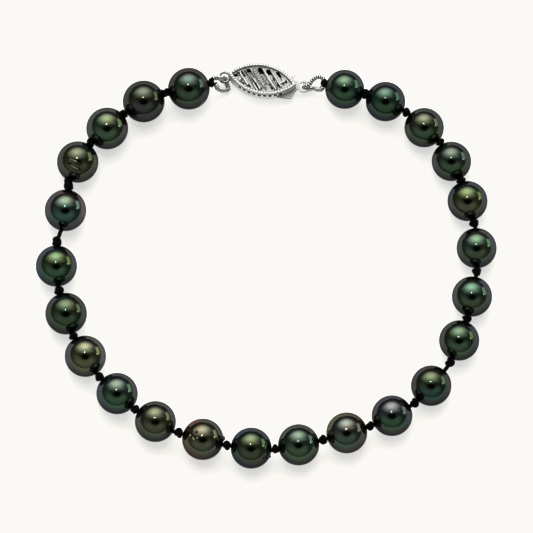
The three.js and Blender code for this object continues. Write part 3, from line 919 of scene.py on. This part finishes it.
def centre_line(name):
    """The middle line of a packed tube, ring by ring from its flat end."""
    mesh = nodes[name].data
    raw = np.round(np.array([v.co for v in mesh.vertices], float) / MM, 3)
    points, lookup = np.unique(raw, axis=0, return_inverse=True)
    lookup = lookup.ravel()
    triangles = [[int(lookup[v]) for v in p.vertices] for p in mesh.polygons]
    neighbours = {}
    beside = {}
    for index, triangle in enumerate(triangles):
        for corner in triangle:
            neighbours.setdefault(corner, set()).update(set(triangle) - {corner})
            beside.setdefault(corner, []).append(index)
    layer = flat_end(points, triangles, beside)
    seen = set(layer)
    line = []
    while layer:
        line.append(points[sorted(layer)].mean(0))
        layer = set().union(*(neighbours[member] for member in layer)) - seen
        seen |= layer
    return np.array(line)


def add_gimps(wire, silk):
    """Wire coiled round its silk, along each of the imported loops."""
    for name in GIMPS:
        line = centre_line(name)
        turns = distances(line)[-1] / COIL_PITCH
        path = smooth_path(line, int(turns * COIL_STEPS))
        across, upward = carried_frames(path)
        angles = np.linspace(0, turns * 2 * math.pi, len(path))[:, None]
        outward = np.cos(angles) * across + np.sin(angles) * upward
        helix = path + (COIL_RADIUS - COIL_WIRE_RADIUS) * outward
        wound = tube(helix, COIL_WIRE_RADIUS, COIL_SIDES)
        coil = add_mesh(f"{name}_coil", wound, wire)
        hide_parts(name)
        core = tube(path[::CORE_STRIDE], COIL_CORE_RADIUS, CORE_SIDES)
        add_mesh(f"{name}_silk", core, silk)


# Clasp


def measure_clasp():
    """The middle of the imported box, and the directions along and across it."""
    points = node_points("clasp_body")
    rim = points[points[:, 2] > points[:, 2].max() - RIM_SEARCH]
    spread = np.linalg.norm(rim[:, None] - rim[None], axis=2)
    ends = rim[list(np.unravel_index(spread.argmax(), spread.shape))]
    left, right = sorted(ends, key=lambda tip: tip[0])
    lengthwise = unit(right - left)
    return (left + right) / 2, lengthwise, np.cross(UP, lengthwise)


clasp_middle, clasp_x, clasp_y = measure_clasp()


def on_clasp(points):
    """Points in the clasp's own measures moved to where the clasp lies."""
    points = np.asarray(points, float).reshape(-1, 3)
    moved = clasp_middle + np.outer(points[:, 0], clasp_x) + np.outer(points[:, 1], clasp_y)
    moved[:, 2] = points[:, 2]
    return moved


def oval_inset(x, y):
    """How far inside the pointed oval a point lies, and how far round its side."""
    below = np.abs(y) + SIDE_DROP
    return SIDE_RADIUS - np.hypot(x, below), np.arctan2(x, below) * SIDE_RADIUS


def along_slant(x, y, row):
    """A point's place along and across a row that slants over the front."""
    turn = math.radians(row.get("turn", SLOT_TURN))
    dx = x - row["x"]
    dy = y - row["y"]
    along = dx * math.cos(turn) + dy * math.sin(turn)
    across = dy * math.cos(turn) - dx * math.sin(turn)
    return along, across


def hole_depth(x, y, row):
    """Above 0 inside a tapered hole. Its wide end is the upper left one."""
    along, across = along_slant(x, y, row)
    half = row["length"] / 2
    share = np.clip((along + half) / (2 * half), 0, 1)
    width = row["head"] + (row["tail"] - row["head"]) * share
    nearest = np.clip(along, -half, half)
    return width - np.hypot(along - nearest, across)


def front_metal(x, y):
    """Above 0 where the front has metal, as a distance from the nearest edge."""
    metal, _ = oval_inset(x, y)
    for row in FRONT_HOLES:
        metal = np.minimum(metal, -hole_depth(x, y, row))
    return metal


def bar_form(x, y, row):
    """How far a bar rises at a point, as a share of its rise."""
    along, across = along_slant(x, y, row)
    beyond = np.maximum(np.abs(along) - row["length"] / 2, 0)
    reach = np.clip(np.hypot(across, beyond) / row["width"], 0, 1)
    return np.sqrt(1 - reach ** 4)


def leaf_form(x, y, row):
    """The same for a leaf with bent ridges across it."""
    along, across = along_slant(x, y, row)
    half = row["length"] / 2
    outline = row["width"] * np.sqrt(np.clip(1 - (along / half) ** 2, 0, 1))
    inside = np.clip(1 - np.abs(across) / np.maximum(outline, LEAST_OUTLINE), 0, 1)
    bent = along + RIDGE_BEND * np.abs(across)
    ridges = 0.5 + 0.5 * np.cos(2 * math.pi * bent / row["pitch"])
    return np.minimum(1, LEAF_STEEPNESS * inside) * (RIDGE_VALLEY + (1 - RIDGE_VALLEY) * ridges)


def bead_form(x, y, row):
    """The same for a bead."""
    reach = np.clip(np.hypot(x - row["x"], y - row["y"]) / row["radius"], 0, 1)
    return np.sqrt(1 - reach ** 2)


def rim_height(inset, travelled):
    """Height of the rim, with its cut ticks, its bevel and the bead line inside it."""
    from_tick = np.abs(np.mod(travelled / TICK_PITCH, 1) - 0.5) * TICK_PITCH
    ticks = np.clip(1 - from_tick / TICK_WIDTH, 0, 1)
    middle = np.clip(1 - np.abs(inset - RIM_WIDTH / 2) / (RIM_WIDTH * TICK_REACH), 0, 1)
    grooves = RIM_TOP - TICK_DEPTH * np.clip(TICK_STEEPNESS * middle, 0, 1) * ticks
    bevel = RIM_BEVEL * np.clip(1 - inset / RIM_BEVEL_WIDTH, 0, 1) ** 2
    bead = RIM_BEAD * np.exp(-((inset - RIM_WIDTH + RIM_BEAD_INSET) / RIM_BEAD_WIDTH) ** 2)
    return grooves - bevel + bead


def front_height(x, y):
    """Height of the front's cast relief and of its rim."""
    height = np.full_like(x, SHEET_TOP)
    for form, rows in ((bar_form, FRONT_BARS), (leaf_form, FRONT_LEAVES), (bead_form, FRONT_BEADS)):
        for row in rows:
            height = np.maximum(height, SHEET_TOP + row["rise"] * form(x, y, row))
    lace = 0.5 + 0.5 * np.cos(x * LACE_WAVES) * np.cos(y * LACE_WAVES)
    height = np.where(height < SHEET_TOP + PLAIN_BELOW, SHEET_TOP + LACE_RISE * lace, height)
    inset, travelled = oval_inset(x, y)
    band = np.clip((RIM_WIDTH - inset) / RIM_SLOPE, 0, 1)
    return height * (1 - band) + rim_height(inset, travelled) * band


def moved_to_edges(x, y, beside_edge):
    """The grid's corners, with those beside an edge of the metal moved onto that edge."""
    step = FRONT_GRID * EDGE_PROBE
    slope_x = (front_metal(x + step, y) - front_metal(x - step, y)) / (2 * step)
    slope_y = (front_metal(x, y + step) - front_metal(x, y - step)) / (2 * step)
    size = np.maximum(slope_x ** 2 + slope_y ** 2, LEAST_SLOPE)
    limit = FRONT_GRID * EDGE_MOVE
    move = np.clip(front_metal(x, y), -limit, limit) / size * beside_edge
    return x - slope_x * move, y - slope_y * move


def sheet_faces(kept):
    """Faces above and below each cell of metal, and down every edge."""
    columns, rows = kept.shape[0] + 1, kept.shape[1] + 1
    layer = columns * rows
    number = np.arange(layer).reshape(columns, rows)
    solid = np.pad(kept, 1)
    faces = []
    for i, j in zip(*np.nonzero(kept)):
        a = number[i, j]
        b = number[i + 1, j]
        c = number[i + 1, j + 1]
        d = number[i, j + 1]
        faces.append((a, b, c, d))
        faces.append((d + layer, c + layer, b + layer, a + layer))
        for p, q, metal_beyond in (
            (a, b, solid[i + 1, j]),
            (b, c, solid[i + 2, j + 1]),
            (c, d, solid[i + 1, j + 2]),
            (d, a, solid[i, j + 1]),
        ):
            if not metal_beyond:
                faces.append((q, p, p + layer, q + layer))
    return np.array(faces)


def front_relief():
    """The pierced front as a fine sheet whose edges follow the holes."""
    grid = FRONT_GRID
    xs = np.arange(-BOX_LENGTH / 2 - grid, BOX_LENGTH / 2 + 2 * grid, grid)
    ys = np.arange(-BOX_WIDTH / 2 - grid, BOX_WIDTH / 2 + 2 * grid, grid)
    x, y = np.meshgrid(xs, ys, indexing="ij")
    kept = front_metal(x[:-1, :-1] + grid / 2, y[:-1, :-1] + grid / 2) > 0
    cells = np.zeros_like(x, int)
    for i, j in ((0, 0), (1, 0), (0, 1), (1, 1)):
        cells[i:i + kept.shape[0], j:j + kept.shape[1]] += kept
    x, y = moved_to_edges(x, y, (cells > 0) & (cells < 4))
    top = np.stack([x.ravel(), y.ravel(), front_height(x, y).ravel()], 1)
    below = np.stack([x.ravel(), y.ravel(), np.full(x.size, SHEET_BOTTOM)], 1)
    faces = sheet_faces(kept)
    used, renumbered = np.unique(faces, return_inverse=True)
    vertices = np.concatenate([top, below])[used]
    return on_clasp(vertices), renumbered.reshape(faces.shape).tolist()


def wall_windows():
    """Both edges of every window, as distances round the side from its middle."""
    windows = []
    for index in range(WINDOW_COUNT):
        middle = (index - (WINDOW_COUNT - 1) / 2) * WINDOW_PITCH
        windows.append((middle - WINDOW_WIDTH / 2, middle + WINDOW_WIDTH / 2))
    return windows


def wall_stations(windows):
    """Where the wall's columns meet, with one such place at every edge of a window."""
    end = SIDE_RADIUS * SIDE_HALF_ANGLE
    marks = sorted([-end, end] + [edge for window in windows for edge in window])
    stations = []
    for first, last in zip(marks[:-1], marks[1:]):
        steps = max(2, round((last - first) / (2 * end) * WALL_COLUMNS))
        stations += list(np.linspace(first, last, steps, endpoint=False))
    return stations + [end]


def wall_cells(stations, windows):
    """The column and row of each part of the wall that is solid."""
    cells = []
    for column, (first, last) in enumerate(zip(stations[:-1], stations[1:])):
        middle = (first + last) / 2
        in_mouth = SIDE_RADIUS * math.sin(middle / SIDE_RADIUS) > BOX_LENGTH / 2 - MOUTH_DEPTH
        in_window = any(left < middle < right for left, right in windows)
        for row in range(len(WALL_LEVELS) - 1):
            if in_mouth and row == MOUTH_ROW or in_window and row == WINDOW_ROW:
                continue
            cells.append((column, row))
    return cells


def side_wall(side, stations, cells):
    """One side wall, the upper one for side 1 and the lower one for -1."""
    vertices = []
    for travelled in stations:
        for reach in (SIDE_RADIUS, SIDE_RADIUS - WALL_THICKNESS):
            x = reach * math.sin(travelled / SIDE_RADIUS)
            y = reach * math.cos(travelled / SIDE_RADIUS) - SIDE_DROP
            vertices += [(x, side * max(y, 0), level) for level in WALL_LEVELS]
    rows = len(WALL_LEVELS)
    step = 2 * rows
    faces = []
    for column, row in cells:
        o = column * step + row
        i = o + rows
        quads = [(o, o + step, o + step + 1, o + 1), (i + 1, i + step + 1, i + step, i)]
        for beside, quad in (
            ((column, row + 1), (o + 1, o + step + 1, i + step + 1, i + 1)),
            ((column, row - 1), (i, i + step, o + step, o)),
            ((column + 1, row), (o + step, i + step, i + step + 1, o + step + 1)),
            ((column - 1, row), (o + 1, i + 1, i, o)),
        ):
            if beside not in cells:
                quads.append(quad)
        faces += quads if side < 0 else [tuple(reversed(quad)) for quad in quads]
    return on_clasp(vertices), faces


def box_walls():
    """Both side walls, with a row of windows and the mouth that the hook goes into."""
    windows = wall_windows()
    stations = wall_stations(windows)
    cells = wall_cells(stations, windows)
    return merged([side_wall(side, stations, cells) for side in (1, -1)])


def back_plate():
    """The box's plain back."""
    reach = SIDE_RADIUS - BACK_SETBACK
    outline = []
    for side in (1, -1):
        for share in np.linspace(-1, 1, BACK_STEPS + 1)[:-1]:
            angle = SIDE_HALF_ANGLE * share * side
            outline.append((reach * math.sin(angle), side * (reach * math.cos(angle) - SIDE_DROP)))
    count = len(outline)
    vertices = [(x, y, z) for z in (BOX_BOTTOM, MOUTH_BOTTOM) for x, y in outline]
    faces = [tuple(range(count)), tuple(reversed(range(count, 2 * count)))]
    faces += [(k, k + count, (k + 1) % count + count, (k + 1) % count) for k in range(count)]
    return on_clasp(vertices), faces


def squared(value):
    """A sine or cosine drawn out so that a circle turns into a rounded square."""
    return math.copysign(abs(value) ** RING_SQUARENESS, value)


def flat_ring(x, y, bottom, top, hole, rim):
    """A plate ring with rounded edges."""
    section = []
    for step in range(RING_SECTION):
        angle = 2 * math.pi * step / RING_SECTION
        out = (rim / 2) * squared(math.cos(angle))
        rise = ((top - bottom) / 2) * squared(math.sin(angle))
        section.append(((hole + rim) / 2 + out, (top + bottom) / 2 + rise))
    vertices = []
    for side in range(RING_SIDES):
        angle = 2 * math.pi * side / RING_SIDES
        vertices += [(x + out * math.cos(angle), y + out * math.sin(angle), z) for out, z in section]
    return on_clasp(vertices), endless_faces(RING_SIDES, RING_SECTION)


def add_clasp(metals):
    """The pierced front, and the box with its ring. Inside, the box gets a near-black painted shade."""
    front = add_mesh("clasp_filigree", front_relief(), metals["cast"])
    ring = flat_ring(**END_RING)
    solid = merged([box_walls(), back_plate(), ring])
    box = add_mesh("clasp_box", solid, metals["box"], smooth=False)
    box.data.materials.append(metals["polished"])
    box.data.materials.append(metals["tarnished"])
    ring_start = len(solid[1]) - len(ring[1])
    for index, polygon in enumerate(box.data.polygons):
        place = np.array(polygon.center) / MM - clasp_middle
        inset, _ = oval_inset(place @ clasp_x, place @ clasp_y)
        if index >= ring_start:
            polygon.material_index = 1
            polygon.use_smooth = True
        # Faces inside the box take the near-black painted shade
        elif inset > INSIDE_INSET and polygon.center[2] / MM > INSIDE_BOTTOM:
            polygon.material_index = 2
    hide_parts("clasp_body")
    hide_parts("clasp_body")


def dress_hook(metal):
    """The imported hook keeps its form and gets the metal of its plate."""
    mesh = nodes["clasp_hook"].data
    mesh.materials.clear()
    mesh.materials.append(metal)


# Floor, light and camera


def add_floor():
    """A pale floor that glows a little, as a lit paper does."""
    corners = ((-1, -1), (1, -1), (1, 1), (-1, 1))
    mesh = bpy.data.meshes.new("floor")
    mesh.from_pydata([(x * FLOOR_REACH, y * FLOOR_REACH, 0) for x, y in corners], [], [(0, 1, 2, 3)])
    floor = add_object("floor", mesh)
    material, n = new_material("floor")
    paper = n.add("ShaderNodeBsdfDiffuse", {"Color": FLOOR_COLOUR})
    glow = n.add("ShaderNodeEmission", {"Color": FLOOR_GLOW, "Strength": FLOOR_GLOW_STRENGTH})
    n.surface(n.add("ShaderNodeAddShader", {0: paper.outputs[0], 1: glow.outputs[0]}))
    mesh.materials.append(material)


def towards(azimuth, elevation):
    """A direction from the bracelet, azimuth counted from the right towards the back."""
    azimuth = math.radians(azimuth)
    elevation = math.radians(elevation)
    level = math.cos(elevation)
    return Vector((level * math.cos(azimuth), level * math.sin(azimuth), math.sin(elevation)))


def panel(n, direction, row):
    """How much of a panel is seen in each direction, from 0 to 1."""
    centre = towards(row["azimuth"], row["elevation"])
    across = Vector(UP).cross(centre).normalized()
    upward = centre.cross(across)
    facing = n.dot(direction, centre)
    depth = n.maths("MAXIMUM", facing, LEAST_FACING)
    shares = []
    for axis, size in ((across, row["wide"]), (upward, row["high"])):
        slope = n.maths("DIVIDE", n.dot(direction, axis), depth)
        angle = n.maths("ABSOLUTE", n.maths("ARCTANGENT", slope))
        share = n.maths("DIVIDE", angle, math.radians(size))
        shares.append(n.maths("POWER", share, row["corner"]))
    reach = n.maths("POWER", n.maths("ADD", *shares), 1 / row["corner"])
    return n.maths("MULTIPLY", n.ramp(reach, 1.0, row["core"]), n.ramp(facing, *PANEL_FRONT))


def add_world():
    """A dim room with the studio's panels and lamps, and the camera's dark shape in it."""
    world = bpy.data.worlds.new("studio")
    bpy.context.scene.world = world
    world.use_nodes = True
    n = Nodes(world.node_tree)
    direction = n.place("Generated")
    total = n.maths("ADD", 0.0, ROOM_LIGHT)
    for row in STUDIO_LIGHTS:
        total = n.maths("ADD", total, n.maths("MULTIPLY", panel(n, direction, row), row["power"]))
    total = n.maths("MULTIPLY", total, n.ramp(n.dot(direction, UP), *HORIZON))
    shade = panel(n, direction, CAMERA_SHADE)
    total = n.maths("MULTIPLY", total, n.maths("SUBTRACT", 1.0, shade))
    light = n.add("ShaderNodeBackground", {"Color": ROOM_COLOUR, "Strength": total})
    n.surface(light, "ShaderNodeOutputWorld")


def add_camera():
    """A camera with a very long lens, where the photographer stands."""
    distance = VIEW_WIDTH * CAMERA_LENS / SENSOR_WIDTH
    nearest, farthest = CAMERA_RANGE
    data = bpy.data.cameras.new("camera")
    data.lens = CAMERA_LENS
    data.sensor_width = SENSOR_WIDTH
    data.clip_start = distance * nearest
    data.clip_end = distance * farthest
    camera = add_object("camera", data)
    camera.location = CAMERA_TARGET + TO_CAMERA * distance
    camera.rotation_euler = TO_CAMERA.to_track_quat("Z", "Y").to_euler()
    bpy.context.scene.camera = camera


def set_tones():
    """The view's tone curve, straight above the level of white."""
    view = bpy.context.scene.view_settings
    view.view_transform = "Standard"
    view.use_curve_mapping = True
    view.curve_mapping.extend = "HORIZONTAL"
    for channel, white in enumerate(WHITE):
        curve = view.curve_mapping.curves[channel]
        curve.points[0].location = TONE_CURVE[0]
        curve.points[-1].location = (1.0, white)
        for level, shown in TONE_CURVE[1:] + [(WHITE_LEVEL, white)]:
            curve.points.new(level, shown)
        curve.points[-2].handle_type = "VECTOR"
        curve.points[-1].handle_type = "VECTOR"
    view.curve_mapping.update()


# The whole scene

silk = silk_material()
metals = {look["name"]: white_gold_material(**look) for look in WHITE_METALS}
pearls = measure_pearls()
add_pearls(pearls)
add_silk(pearls, silk)
add_gimps(metals["wire"], silk)
add_clasp(metals)
dress_hook(metals["plate"])
add_floor()
add_world()
add_camera()
set_tones()
